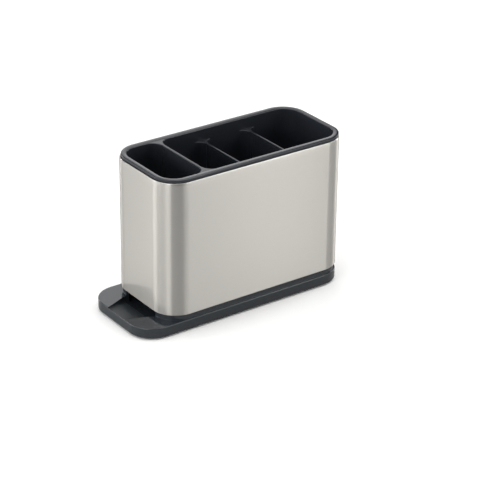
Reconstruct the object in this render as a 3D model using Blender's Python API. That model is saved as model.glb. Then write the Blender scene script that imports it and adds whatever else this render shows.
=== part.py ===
"""Cutlery drainer: a steel sleeve with a four-bay caddy inside, standing on a drip tray with a spout.

Sizes are in metres. X runs along the tray, with the spout at the low end, Y across it and Z up.
The origin lies on the surface that the tray stands on, under the middle of the tray.
"""

import math

import bmesh
import bpy

# Sleeve: one steel sheet, bent to a tube, rolled inwards at the top and hemmed at the bottom.
SLEEVE_LENGTH = 0.2130
SLEEVE_WIDTH = 0.1000
SLEEVE_HEIGHT = 0.1387
SLEEVE_CORNER = 0.0253
SHEET = 0.0008
ROLL_RADIUS = 0.0019
ROLL_TAIL = 0.0010
HEM_BEND = 0.0012
HEM_WIDTH = 0.0026

# Caddy: moulded bays that hang in the sleeve by a rim.
RIM_INSET = 0.0018
RIM_RISE = 0.0024
RIM_END_WIDTH = 0.0046
RIM_SIDE_WIDTH = 0.0061
RIM_OUTER_ROUND = 0.0014
RIM_INNER_ROUND = 0.0008
CADDY_WALL = 0.0020
CADDY_FLOOR = 0.0022
CADDY_CLEARANCE = 0.0010
SIDE_BAY_LENGTH = 0.0413
PARTITION = 0.0029
PARTITION_CORNER = 0.0115
DIVIDER = 0.0022
DIVIDER_DROP = 0.0127
DIVIDER_CORNER = 0.0095
MAIN_BAYS = 3
DRAIN_RADIUS = 0.0030
DRAIN_PITCH = 0.0135
DRAIN_MARGIN = 0.0080

# Tray: a plate with a basin inside an upstand, which carries the sleeve's hem, and a spout.
SPOUT_REACH = 0.0270
TRAY_HEIGHT = 0.0105
TRAY_WALL = 0.0024
TRAY_FLOOR = 0.0024
TRAY_TOP_ROUND = 0.0006
TRAY_BASE_ROUND = 0.0016
SLEEVE_LIFT = 0.0055
SEAT_INSET = 0.0016
LIP_HEIGHT = 0.0037
LIP_WIDTH = 0.0015
SPOUT_DIP = 0.0011
SPOUT_LIP_HALF_WIDTH = 0.0146
SPOUT_MOUTH_HALF_WIDTH = 0.0255
SPOUT_FLARE_POWER = 1.1

# Feet: rubber discs set in shallow recesses under the tray.
FOOT_RADIUS = 0.0060
FOOT_PROJECTION = 0.0016
FOOT_RECESS = 0.0008
FOOT_INSET = 0.0200

# Clearance between pieces that touch, and the overrun of cuts and of solids that are joined.
SEAT_GAP = 0.0003
OVERRUN = 0.0020
WELD_DISTANCE = 0.000001

# Numbers of segments.
CORNER_STEPS = 8
ROLL_STEPS = 8
HEM_STEPS = 3
SPOUT_STEPS = 6
DRAIN_SIDES = 10
FOOT_SIDES = 24
ROUND_SEGMENTS = 2

# Edges that turn by more than this stay sharp in the shading, and only sharper ones are rounded.
SMOOTH_ANGLE = math.radians(35.0)

# Places that follow from the sizes above. Heights here are above the standing surface.
TRAY_LENGTH = SLEEVE_LENGTH + SPOUT_REACH
TRAY_TOP = FOOT_PROJECTION + TRAY_HEIGHT
BASIN_FLOOR = FOOT_PROJECTION + TRAY_FLOOR
SLEEVE_BASE = TRAY_TOP + SLEEVE_LIFT
SLEEVE_X = SPOUT_REACH / 2
SEAT_TOP = SLEEVE_BASE - SEAT_GAP
LIP_TOP = SLEEVE_BASE + LIP_HEIGHT
LIP_INSET = HEM_WIDTH + SEAT_GAP
BASIN_INSET = LIP_INSET + LIP_WIDTH
SLEEVE_LEFT = SLEEVE_X - SLEEVE_LENGTH / 2
BASIN_LEFT = SLEEVE_LEFT + BASIN_INSET
TRAY_LEFT = -TRAY_LENGTH / 2

# Heights of the caddy above the sleeve's lower edge.
CADDY_BASE = LIP_HEIGHT + CADDY_CLEARANCE
RIM_UNDERSIDE = SLEEVE_HEIGHT + SEAT_GAP
RIM_TOP = SLEEVE_HEIGHT + RIM_RISE
BAY_FLOOR = CADDY_BASE + CADDY_FLOOR
BAY_HALF_LENGTH = SLEEVE_LENGTH / 2 - RIM_INSET - RIM_END_WIDTH
BAY_HALF_WIDTH = SLEEVE_WIDTH / 2 - RIM_INSET - RIM_SIDE_WIDTH
BAY_CORNER = SLEEVE_CORNER - RIM_INSET - RIM_SIDE_WIDTH


def clear_scene():
    """Remove what the file holds."""
    for item in list(bpy.data.objects):
        bpy.data.objects.remove(item, do_unlink=True)


def make_collection(name):
    """Add a collection to the scene."""
    collection = bpy.data.collections.new(name)
    bpy.context.scene.collection.children.link(collection)
    return collection


def make_material(name, colour, roughness, metallic):
    """Make a Principled material from a linear colour."""
    material = bpy.data.materials.new(name)
    material.use_nodes = True
    shader = material.node_tree.nodes["Principled BSDF"]
    shader.inputs["Base Color"].default_value = (*colour, 1.0)
    shader.inputs["Roughness"].default_value = roughness
    shader.inputs["Metallic"].default_value = metallic
    return material


def corner_arc(centre, radius, start_angle):
    """A quarter circle of plan points, anticlockwise from start_angle."""
    points = []
    for step in range(CORNER_STEPS + 1):
        angle = start_angle + math.pi / 2 * step / CORNER_STEPS
        points.append((centre[0] + radius * math.cos(angle), centre[1] + radius * math.sin(angle)))
    return points


def rounded_outline(low_x, high_x, half_width, left_radius, right_radius):
    """Plan outline of a rectangle across Y = 0, with its own corner radius at each end."""
    points = corner_arc((high_x - right_radius, half_width - right_radius), right_radius, 0.0)
    points += corner_arc((low_x + left_radius, half_width - left_radius), left_radius, math.pi / 2)
    points += corner_arc((low_x + left_radius, left_radius - half_width), left_radius, math.pi)
    points += corner_arc((high_x - right_radius, right_radius - half_width), right_radius, math.pi * 1.5)
    return points


def centred_outline(length, width, radius):
    """Plan outline of a rectangle round the origin with one corner radius."""
    return rounded_outline(-length / 2, length / 2, width / 2, radius, radius)


def curve_from_points(name, points, dimensions):
    """A closed curve of straight stretches through the points."""
    curve = bpy.data.curves.new(name, "CURVE")
    curve.dimensions = dimensions
    spline = curve.splines.new("POLY")
    spline.points.add(len(points) - 1)
    for spot, place in zip(spline.points, points):
        spot.co = (place[0], place[1], 0.0, 1.0)
    spline.use_cyclic_u = True
    return curve


def mesh_from_curve(name, curve):
    """Turn a curve into a welded mesh object with its faces pointing out."""
    source = bpy.data.objects.new(name + "_curve", curve)
    bpy.context.scene.collection.objects.link(source)
    bpy.context.view_layer.update()
    evaluated = source.evaluated_get(bpy.context.evaluated_depsgraph_get())
    mesh = bpy.data.meshes.new_from_object(evaluated)
    mesh.name = name
    bpy.data.objects.remove(source, do_unlink=True)
    bpy.data.curves.remove(curve)
    work = bmesh.new()
    work.from_mesh(mesh)
    bmesh.ops.remove_doubles(work, verts=work.verts, dist=WELD_DISTANCE)
    bmesh.ops.recalc_face_normals(work, faces=work.faces)
    work.to_mesh(mesh)
    work.free()
    piece = bpy.data.objects.new(name, mesh)
    bpy.context.scene.collection.objects.link(piece)
    return piece


def prism(name, outline, low, high):
    """A solid between two heights with the given plan outline."""
    curve = curve_from_points(name, outline, "2D")
    curve.fill_mode = "BOTH"
    curve.extrude = (high - low) / 2
    piece = mesh_from_curve(name, curve)
    for vertex in piece.data.vertices:
        vertex.co.z += (low + high) / 2
    return piece


def cylinders(name, places, radius, low, high, sides):
    """Upright cylinders at plan places, as one mesh."""
    work = bmesh.new()
    for place in places:
        made = bmesh.ops.create_cone(work, cap_ends=True, segments=sides, radius1=radius,
                                     radius2=radius, depth=high - low)
        middle = (place[0], place[1], (low + high) / 2)
        bmesh.ops.translate(work, verts=made["verts"], vec=middle)
    mesh = bpy.data.meshes.new(name)
    work.to_mesh(mesh)
    work.free()
    piece = bpy.data.objects.new(name, mesh)
    bpy.context.scene.collection.objects.link(piece)
    return piece


def combine(target, tool, operation):
    """Join or cut the target with the tool, which is used up."""
    modifier = target.modifiers.new("combine", "BOOLEAN")
    modifier.operation = operation
    modifier.solver = "EXACT"
    modifier.object = tool
    bpy.context.view_layer.update()
    evaluated = target.evaluated_get(bpy.context.evaluated_depsgraph_get())
    result = bpy.data.meshes.new_from_object(evaluated)
    target.modifiers.clear()
    target.data = result
    bpy.data.objects.remove(tool, do_unlink=True)


def round_edges(piece, height, width):
    """Round the sharp edges that lie level at a height."""
    work = bmesh.new()
    work.from_mesh(piece.data)
    bmesh.ops.remove_doubles(work, verts=work.verts, dist=WELD_DISTANCE)
    chosen = []
    for edge in work.edges:
        level = all(abs(vertex.co.z - height) < WELD_DISTANCE for vertex in edge.verts)
        if level and edge.is_manifold and edge.calc_face_angle() > SMOOTH_ANGLE:
            chosen.append(edge)
    bmesh.ops.bevel(work, geom=chosen, offset=width, offset_type="OFFSET", segments=ROUND_SEGMENTS,
                    profile=0.5, affect="EDGES", clamp_overlap=True)
    work.to_mesh(piece.data)
    work.free()


def trim_by_plane(piece, place, normal):
    """Keep what lies on the normal's side of a plane, and close the cut."""
    work = bmesh.new()
    work.from_mesh(piece.data)
    bmesh.ops.bisect_plane(work, geom=work.verts[:] + work.edges[:] + work.faces[:], plane_co=place,
                           plane_no=normal, dist=WELD_DISTANCE, clear_inner=True)
    open_edges = [edge for edge in work.edges if edge.is_boundary]
    bmesh.ops.holes_fill(work, edges=open_edges, sides=0)
    bmesh.ops.recalc_face_normals(work, faces=work.faces)
    work.to_mesh(piece.data)
    work.free()


def finish_piece(piece, name, material, collection, place, parent):
    """Name a piece, give it its material, shade it and put it in its place."""
    piece.name = name
    piece.data.name = name
    piece.data.materials.clear()
    piece.data.materials.append(material)
    piece.data.shade_smooth()
    piece.data.set_sharp_from_angle(angle=SMOOTH_ANGLE)
    for holder in list(piece.users_collection):
        holder.objects.unlink(piece)
    collection.objects.link(piece)
    piece.location = place
    if parent is not None:
        piece.parent = parent


def sheet_profile():
    """Cross-section of the sleeve's sheet: distance inwards from its outer face, and height."""
    points = []
    roll_height = SLEEVE_HEIGHT - ROLL_RADIUS
    for step in range(HEM_STEPS + 1):
        angle = math.pi / 2 * step / HEM_STEPS
        points.append((HEM_BEND * (1 - math.sin(angle)), HEM_BEND * (1 - math.cos(angle))))
    for step in range(ROLL_STEPS + 1):
        angle = math.pi * step / ROLL_STEPS
        points.append((ROLL_RADIUS * (1 - math.cos(angle)), roll_height + ROLL_RADIUS * math.sin(angle)))
    inner_radius = ROLL_RADIUS - SHEET
    points.append((ROLL_RADIUS + ROLL_RADIUS, roll_height - ROLL_TAIL))
    points.append((ROLL_RADIUS + inner_radius, roll_height - ROLL_TAIL))
    for step in range(ROLL_STEPS + 1):
        angle = math.pi * (1 - step / ROLL_STEPS)
        points.append((ROLL_RADIUS - inner_radius * math.cos(angle), roll_height + inner_radius * math.sin(angle)))
    inner_bend = HEM_BEND - SHEET
    for step in range(HEM_STEPS + 1):
        angle = math.pi / 2 * (1 - step / HEM_STEPS)
        points.append((HEM_BEND - inner_bend * math.sin(angle), HEM_BEND - inner_bend * math.cos(angle)))
    points.append((HEM_WIDTH, SHEET))
    points.append((HEM_WIDTH, 0.0))
    return points


def build_sleeve():
    """The sheet's cross-section swept round the sleeve's plan outline."""
    profile = bpy.data.objects.new("profile", curve_from_points("profile", sheet_profile(), "2D"))
    bpy.context.scene.collection.objects.link(profile)
    path = curve_from_points("sleeve", centred_outline(SLEEVE_LENGTH, SLEEVE_WIDTH, SLEEVE_CORNER), "2D")
    path.fill_mode = "NONE"
    path.bevel_mode = "OBJECT"
    path.bevel_object = profile
    piece = mesh_from_curve("sleeve", path)
    bpy.data.objects.remove(profile, do_unlink=True)
    return piece


def bay_spans():
    """The ends of each bay along X, from the spout end: the side bay, then the main bays."""
    spans = [(-BAY_HALF_LENGTH, -BAY_HALF_LENGTH + SIDE_BAY_LENGTH)]
    start = spans[0][1] + PARTITION
    bay_length = (BAY_HALF_LENGTH - start - DIVIDER * (MAIN_BAYS - 1)) / MAIN_BAYS
    for _ in range(MAIN_BAYS):
        spans.append((start, start + bay_length))
        start += bay_length + DIVIDER
    return spans


def drain_places(low_x, high_x):
    """Plan places of the drain holes in one bay's floor, centred in the bay."""
    length = high_x - low_x - 2 * DRAIN_MARGIN
    width = 2 * (BAY_HALF_WIDTH - DRAIN_MARGIN)
    columns = max(1, int(length / DRAIN_PITCH) + 1)
    rows = max(1, int(width / DRAIN_PITCH) + 1)
    places = []
    for column in range(columns):
        for row in range(rows):
            x = (low_x + high_x) / 2 + (column - (columns - 1) / 2) * DRAIN_PITCH
            y = (row - (rows - 1) / 2) * DRAIN_PITCH
            places.append((x, y))
    return places


def build_caddy():
    """The bucket and its rim as one moulding, with the bays and the drain holes cut out."""
    bucket_length = 2 * (BAY_HALF_LENGTH + CADDY_WALL)
    bucket_width = 2 * (BAY_HALF_WIDTH + CADDY_WALL)
    outline = centred_outline(bucket_length, bucket_width, BAY_CORNER + CADDY_WALL)
    piece = prism("caddy", outline, CADDY_BASE, RIM_UNDERSIDE + RIM_RISE / 2)
    rim_outline = centred_outline(SLEEVE_LENGTH - 2 * RIM_INSET, SLEEVE_WIDTH - 2 * RIM_INSET,
                                  SLEEVE_CORNER - RIM_INSET)
    rim = prism("rim", rim_outline, RIM_UNDERSIDE, RIM_TOP)
    round_edges(rim, RIM_TOP, RIM_OUTER_ROUND)
    combine(piece, rim, "UNION")

    spans = bay_spans()
    over_rim = RIM_TOP + OVERRUN
    divider_top = RIM_TOP - DIVIDER_DROP
    side_bay = rounded_outline(*spans[0], BAY_HALF_WIDTH, BAY_CORNER, PARTITION_CORNER)
    combine(piece, prism("side_bay", side_bay, BAY_FLOOR, over_rim), "DIFFERENCE")
    main_opening = rounded_outline(spans[1][0], spans[-1][1], BAY_HALF_WIDTH, PARTITION_CORNER, BAY_CORNER)
    combine(piece, prism("main_opening", main_opening, divider_top, over_rim), "DIFFERENCE")
    for index, (low_x, high_x) in enumerate(spans[1:]):
        left_radius = PARTITION_CORNER if index == 0 else DIVIDER_CORNER
        right_radius = BAY_CORNER if index == MAIN_BAYS - 1 else DIVIDER_CORNER
        bay = rounded_outline(low_x, high_x, BAY_HALF_WIDTH, left_radius, right_radius)
        combine(piece, prism("bay", bay, BAY_FLOOR, divider_top + OVERRUN), "DIFFERENCE")

    for low_x, high_x in spans:
        drains = cylinders("drains", drain_places(low_x, high_x), DRAIN_RADIUS, CADDY_BASE - OVERRUN,
                           BAY_FLOOR + OVERRUN, DRAIN_SIDES)
        combine(piece, drains, "DIFFERENCE")
    round_edges(piece, RIM_TOP, RIM_INNER_ROUND)
    return piece


def spout_half_width(x):
    """Half the spout channel's width, which flares from the lip to the upstand."""
    share = (x - TRAY_LEFT) / (SLEEVE_LEFT - TRAY_LEFT)
    return SPOUT_LIP_HALF_WIDTH + (SPOUT_MOUTH_HALF_WIDTH - SPOUT_LIP_HALF_WIDTH) * share ** SPOUT_FLARE_POWER


def channel_floor(x):
    """Height of the channel's floor, which runs down from the lip to the basin."""
    lip_height = TRAY_TOP - SPOUT_DIP
    share = (x - TRAY_LEFT) / (BASIN_LEFT - TRAY_LEFT)
    return lip_height + (BASIN_FLOOR - lip_height) * share


def channel_slope():
    """Rise of the channel's floor for each metre along X."""
    return (channel_floor(BASIN_LEFT) - channel_floor(TRAY_LEFT)) / (BASIN_LEFT - TRAY_LEFT)


def build_channel_cutter():
    """The spout channel: its plan outline made solid, then cut off along the sloping floor."""
    upper = [(TRAY_LEFT - OVERRUN, SPOUT_LIP_HALF_WIDTH)]
    for step in range(SPOUT_STEPS + 1):
        x = TRAY_LEFT + (SLEEVE_LEFT - TRAY_LEFT) * step / SPOUT_STEPS
        upper.append((x, spout_half_width(x)))
    upper.append((BASIN_LEFT + OVERRUN, SPOUT_MOUTH_HALF_WIDTH))
    lower = [(x, -y) for x, y in reversed(upper)]
    cutter = prism("channel", upper + lower, FOOT_PROJECTION, LIP_TOP + OVERRUN)
    trim_by_plane(cutter, (TRAY_LEFT, 0.0, channel_floor(TRAY_LEFT)), (-channel_slope(), 0.0, 1.0))
    return cutter


def sleeve_outline(inset):
    """Plan outline of the sleeve, drawn in by an inset, in the tray's coordinates."""
    low_x = SLEEVE_LEFT + inset
    high_x = SLEEVE_LEFT + SLEEVE_LENGTH - inset
    radius = SLEEVE_CORNER - inset
    return rounded_outline(low_x, high_x, SLEEVE_WIDTH / 2 - inset, radius, radius)


def foot_places():
    """Names and plan places of the feet, under the basin's corners."""
    low_x = BASIN_LEFT + FOOT_INSET
    high_x = SLEEVE_LEFT + SLEEVE_LENGTH - BASIN_INSET - FOOT_INSET
    y = SLEEVE_WIDTH / 2 - BASIN_INSET - FOOT_INSET
    return {"foot_front_left": (low_x, -y), "foot_front_right": (high_x, -y),
            "foot_back_left": (low_x, y), "foot_back_right": (high_x, y)}


def build_tray():
    """The plate with its upstand, basin, spout and hollow underside."""
    outline = centred_outline(TRAY_LENGTH, SLEEVE_WIDTH, SLEEVE_CORNER)
    piece = prism("tray", outline, FOOT_PROJECTION, TRAY_TOP)
    round_edges(piece, FOOT_PROJECTION, TRAY_BASE_ROUND)
    round_edges(piece, TRAY_TOP, TRAY_TOP_ROUND)

    inside_plate = TRAY_TOP - OVERRUN
    combine(piece, prism("seat", sleeve_outline(SEAT_INSET), inside_plate, SEAT_TOP), "UNION")
    combine(piece, prism("lip", sleeve_outline(LIP_INSET), inside_plate, LIP_TOP), "UNION")
    combine(piece, prism("basin", sleeve_outline(BASIN_INSET), BASIN_FLOOR, LIP_TOP + OVERRUN), "DIFFERENCE")
    combine(piece, build_channel_cutter(), "DIFFERENCE")

    for side in (-1, 1):
        combine(piece, build_corner_core(side), "DIFFERENCE")
    combine(piece, build_channel_core(), "DIFFERENCE")

    recess_top = FOOT_PROJECTION + FOOT_RECESS
    recesses = cylinders("recesses", foot_places().values(), FOOT_RADIUS + SEAT_GAP,
                         FOOT_PROJECTION - OVERRUN, recess_top, FOOT_SIDES)
    combine(piece, recesses, "DIFFERENCE")
    return piece


def build_corner_core(side):
    """The hollow under one corner of the plate beside the spout, open below."""
    low = FOOT_PROJECTION - OVERRUN
    high = TRAY_TOP - TRAY_WALL
    outline = centred_outline(TRAY_LENGTH - 2 * TRAY_WALL, SLEEVE_WIDTH - 2 * TRAY_WALL,
                              SLEEVE_CORNER - TRAY_WALL)
    core = prism("core", outline, low, high)
    inner_y = SPOUT_MOUTH_HALF_WIDTH + TRAY_WALL
    inner_x = BASIN_LEFT - TRAY_WALL
    limits = [(TRAY_LEFT - OVERRUN, side * inner_y), (inner_x, side * inner_y),
              (inner_x, side * SLEEVE_WIDTH), (TRAY_LEFT - OVERRUN, side * SLEEVE_WIDTH)]
    combine(core, prism("limits", limits, low - OVERRUN, high + OVERRUN), "INTERSECT")
    return core


def build_channel_core():
    """The hollow under the spout's channel, with a roof that follows the channel's floor."""
    low_x = TRAY_LEFT + TRAY_WALL
    high_x = SLEEVE_LEFT
    half_width = SPOUT_LIP_HALF_WIDTH
    outline = [(low_x, -half_width), (high_x, -half_width), (high_x, half_width), (low_x, half_width)]
    core = prism("channel_core", outline, FOOT_PROJECTION - OVERRUN, TRAY_TOP)
    roof = (TRAY_LEFT, 0.0, channel_floor(TRAY_LEFT) - TRAY_WALL)
    trim_by_plane(core, roof, (channel_slope(), 0.0, -1.0))
    return core


def build_foot():
    """One rubber foot, from the standing surface up into its recess."""
    foot_top = FOOT_PROJECTION + FOOT_RECESS - SEAT_GAP
    return cylinders("foot", [(0.0, 0.0)], FOOT_RADIUS, 0.0, foot_top, FOOT_SIDES)


def main():
    """Build the drainer."""
    clear_scene()
    parts = make_collection("cutlery_drainer")
    steel = make_material("brushed_steel", (0.56, 0.55, 0.52), 0.32, 1.0)
    plastic = make_material("grey_plastic", (0.042, 0.045, 0.050), 0.35, 0.0)
    caddy_plastic = make_material("caddy_plastic", (0.036, 0.038, 0.042), 0.40, 0.0)
    rubber = make_material("foot_rubber", (0.020, 0.020, 0.021), 0.80, 0.0)

    seat = bpy.data.objects.new("sleeve_seat", None)
    seat.location = (SLEEVE_X, 0.0, SLEEVE_BASE)
    parts.objects.link(seat)
    origin = (0.0, 0.0, 0.0)
    finish_piece(build_tray(), "drip_tray", plastic, parts, origin, None)
    finish_piece(build_sleeve(), "steel_sleeve", steel, parts, origin, seat)
    finish_piece(build_caddy(), "inner_caddy", caddy_plastic, parts, origin, seat)
    for name, place in foot_places().items():
        finish_piece(build_foot(), name, rubber, parts, (*place, 0.0), None)


main()
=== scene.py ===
"""Cutlery drainer, dressed: a brushed steel sleeve, a moulded caddy, a glossy drip tray and rubber feet.

Everything is in metres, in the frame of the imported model. X runs along the tray with the spout at the low
end, Y runs towards the back and Z is up from the standing surface.
"""

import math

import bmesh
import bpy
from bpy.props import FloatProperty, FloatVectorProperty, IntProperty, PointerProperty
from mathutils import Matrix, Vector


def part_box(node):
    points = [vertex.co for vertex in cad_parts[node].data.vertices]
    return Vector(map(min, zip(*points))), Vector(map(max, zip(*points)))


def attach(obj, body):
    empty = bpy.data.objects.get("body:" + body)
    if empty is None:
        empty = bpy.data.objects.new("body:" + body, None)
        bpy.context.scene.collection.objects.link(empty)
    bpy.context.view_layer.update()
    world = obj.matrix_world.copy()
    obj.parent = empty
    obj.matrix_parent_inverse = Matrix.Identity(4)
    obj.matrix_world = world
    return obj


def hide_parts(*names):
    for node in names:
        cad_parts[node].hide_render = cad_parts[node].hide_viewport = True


bl_info = {
    "name": "Cutlery Drainer",
    "version": (1, 0, 0),
    "blender": (4, 5, 0),
    "location": "3D View > Sidebar > Drainer",
    "description": "Builds a steel cutlery drainer, its caddy, its drip tray and a pale studio round it",
    "category": "Add Mesh",
}

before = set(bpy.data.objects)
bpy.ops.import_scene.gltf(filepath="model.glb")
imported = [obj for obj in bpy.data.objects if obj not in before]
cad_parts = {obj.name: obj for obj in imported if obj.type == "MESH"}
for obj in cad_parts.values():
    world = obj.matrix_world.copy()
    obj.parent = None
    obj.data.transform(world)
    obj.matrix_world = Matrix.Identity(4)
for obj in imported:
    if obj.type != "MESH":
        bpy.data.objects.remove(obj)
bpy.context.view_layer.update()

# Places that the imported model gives.
SLEEVE_LOW, SLEEVE_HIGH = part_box("steel_sleeve")
CADDY_LOW, CADDY_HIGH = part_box("inner_caddy")
TRAY_LOW, TRAY_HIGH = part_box("drip_tray")
FOOT_LOW, FOOT_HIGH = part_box("foot_front_left")
FAR_FOOT_LOW, FAR_FOOT_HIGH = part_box("foot_back_right")
FOOT_NODES = ("foot_front_left", "foot_front_right", "foot_back_left", "foot_back_right")

# How fine the meshes are, and how far a cutter or a joined solid runs past what it meets.
CORNER_STEPS = 32
ROUND_STEPS = 6
FLARE_STEPS = 16
RIM_STEPS = 10
CHANNEL_STEPS = 18
HOLE_SIDES = 28
FOOT_SIDES = 48
OVERRUN = 0.0020
EMBED = 0.0011
NUDGE = 0.00002
WELD_DISTANCE = 0.0000005
SMOOTH_ANGLE = math.radians(32.0)
QUARTER = math.pi / 2
FULL_TURN = 2 * math.pi

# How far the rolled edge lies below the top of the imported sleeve.
SLEEVE_DROP = 0.0008

# Where the crowned rim is highest, as a share of its width from its outer edge.
RIM_CREST = 0.4

# Most of a noise texture lies between these values.
NOISE_LOW = 0.3
NOISE_HIGH = 0.7

# Roughness of the channel in the tray.
CHANNEL_ROUGHNESS = 0.52

# How bright the paper is painted in reflections and to the camera, as shares of its colour: a painted warm
# shade in what the drainer mirrors, which stands for a darker room round a small sheet, and painted extra
# light to the camera, which lifts the shade on it towards white.
PAPER_MIRRORED_PAINTED_SHADE = (0.520, 0.510, 0.495)
PAPER_SEEN_PAINTED_LIGHT = (1.20, 1.20, 1.20)

# A Mix node keeps a pair of inputs and an output for each kind of data. These are the ones for vectors.
MIX_VECTOR_A = 4
MIX_VECTOR_B = 5
MIX_VECTOR_RESULT = 1

# Brightness of the room where the camera sees it: a little over 1, so that it stays white.
ROOM_WHITE = 1.1

# How far the upright panels stand from the drainer, and the heights that they reach between.
PANEL_DISTANCE = 1.30
SIDE_BAND = (0.02, 0.55)
FRONT_BAND = (0.02, 0.65)
HIGH_BAND = (0.65, 1.70)

# The upright panels: name, azimuth from +X towards +Y and spread, both in degrees, heights, brightness.
PANELS = (
    ("far_left_strip", 108.0, 9.0, SIDE_BAND, 7.5),
    ("back_left_panel", 123.0, 18.0, SIDE_BAND, 1.8),
    ("left_strip", 146.5, 26.0, SIDE_BAND, 6.6),
    ("left_panel", 167.0, 14.0, SIDE_BAND, 3.2),
    ("left_fill", 184.0, 26.0, FRONT_BAND, 2.0),
    ("front_left_strip", 208.0, 21.0, FRONT_BAND, 4.8),
    ("front_edge_panel", 278.0, 16.0, FRONT_BAND, 1.9),
    ("front_right_panel", 296.0, 24.0, FRONT_BAND, 2.8),
    ("front_right_core", 304.0, 7.0, FRONT_BAND, 3.9),
    ("right_panel", 3.0, 20.0, FRONT_BAND, 4.3),
    ("back_right_panel", 60.0, 28.0, FRONT_BAND, 1.6),
    ("high_right_panel", 345.0, 60.0, HIGH_BAND, 2.0),
    ("high_left_panel", 180.0, 30.0, HIGH_BAND, 1.6),
    ("high_back_panel", 60.0, 30.0, HIGH_BAND, 1.3),
)

# The panel overhead is square and level.
OVERHEAD_HEIGHT = 1.9
OVERHEAD_SIDE = 2.4
OVERHEAD_BRIGHTNESS = 1.8

# The camera's sensor, in millimetres, and how far it sees.
SENSOR_WIDTH = 36.0
SIGHT = 50.0


def linear(hex_value):
    """The linear colour of an sRGB hex value."""
    channels = []
    for shift in (16, 8, 0):
        value = (hex_value >> shift & 255) / 255
        channels.append(value / 12.92 if value <= 0.04045 else ((value + 0.055) / 1.055) ** 2.4)
    return (*channels, 1.0)


def size(name, description, default):
    """A size that a user may change, in metres."""
    return FloatProperty(name=name, description=description, default=default, unit="LENGTH", precision=5)


def colour(name, description, hex_value):
    """A colour that a user may change, given as an sRGB hex value."""
    return FloatVectorProperty(name=name, description=description, default=linear(hex_value),
                               subtype="COLOR", size=4, min=0.0, max=1.0)


class SleeveSizes(bpy.types.PropertyGroup):
    """Sizes of the steel sleeve."""
    length: size("Length", "Along the tray", SLEEVE_HIGH.x - SLEEVE_LOW.x)
    width: size("Width", "Across the tray", SLEEVE_HIGH.y - SLEEVE_LOW.y)
    height: size("Height", "From the hem to the rolled edge", SLEEVE_HIGH.z - SLEEVE_LOW.z - SLEEVE_DROP)
    corner: size("Corner", "Plan radius of the corners", 0.0253)
    sheet: size("Sheet", "Thickness of the steel", 0.00045)
    roll: size("Roll", "Outer radius of the rolled top edge", 0.00055)
    lean: size("Lean", "How far the sheet leans in under its rolled edge", 0.0004)
    lean_height: size("Lean height", "Over what height it does", 0.0050)
    roll_tail: size("Roll tail", "How far the rolled edge runs on downwards inside", 0.0010)
    hem_bend: size("Hem bend", "Outer radius of the bend at the bottom", 0.0012)
    hem: size("Hem", "Width of the hem turned inwards", 0.0026)


class CaddySizes(bpy.types.PropertyGroup):
    """Sizes of the moulded caddy."""
    rim_inset: size("Rim inset", "From the sleeve's face to the rim's outer edge", 0.0011)
    rim_end: size("Rim at the ends", "Width of the rim across the short ends", 0.0053)
    rim_side: size("Rim at the sides", "Width of the rim along the long sides", 0.0068)
    rim_fall: size("Rim fall", "How far the crowned rim falls from its crest to its outer edge", 0.0003)
    rim_dip: size("Rim dip", "How far it falls from its crest to its inner edge", 0.00045)
    rim_edge: size("Rim edge", "Radius of the rim's outer edge", 0.0004)
    rim_round: size("Rim round", "Radius of the rim's inner edge", 0.0007)
    rim_seat: size("Rim seat", "Gap between the rim and the rolled edge", 0.0003)
    shift: size("Shift", "How far the caddy sits from the sleeve's middle, away from the spout", 0.0006)
    wall: size("Wall", "Thickness of the outer walls", 0.0016)
    floor: size("Floor", "Thickness of the floor", 0.0022)
    base_round: size("Base round", "Radius of the lower outer edge", 0.0016)
    floor_round: size("Floor round", "Radius where the walls meet the floor", 0.0026)
    side_bay: size("Side bay", "Length of the bay beside the spout", 0.0413)
    partition: size("Partition", "Thickness of the full-height wall", 0.0029)
    partition_drop: size("Partition drop", "How far its top lies below the rim", 0.0006)
    partition_flare: size("Partition flare", "Corner radius beside the partition", 0.0115)
    divider: size("Divider", "Thickness of the low dividers", 0.0022)
    divider_drop: size("Divider drop", "How far their tops lie below the rim", 0.0127)
    divider_flare: size("Divider flare", "Corner radius beside the dividers", 0.0095)
    edge_round: size("Edge round", "Radius along the tops of the inner walls", 0.0007)
    hole: size("Drain hole", "Radius of the drain holes", 0.0030)
    pitch: size("Drain pitch", "Spacing of the drain holes", 0.0135)
    margin: size("Drain margin", "Least distance from a bay's wall to a hole's middle", 0.0080)
    main_bays: IntProperty(name="Main bays", description="Bays in the long compartment", default=3, min=1)


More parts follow.
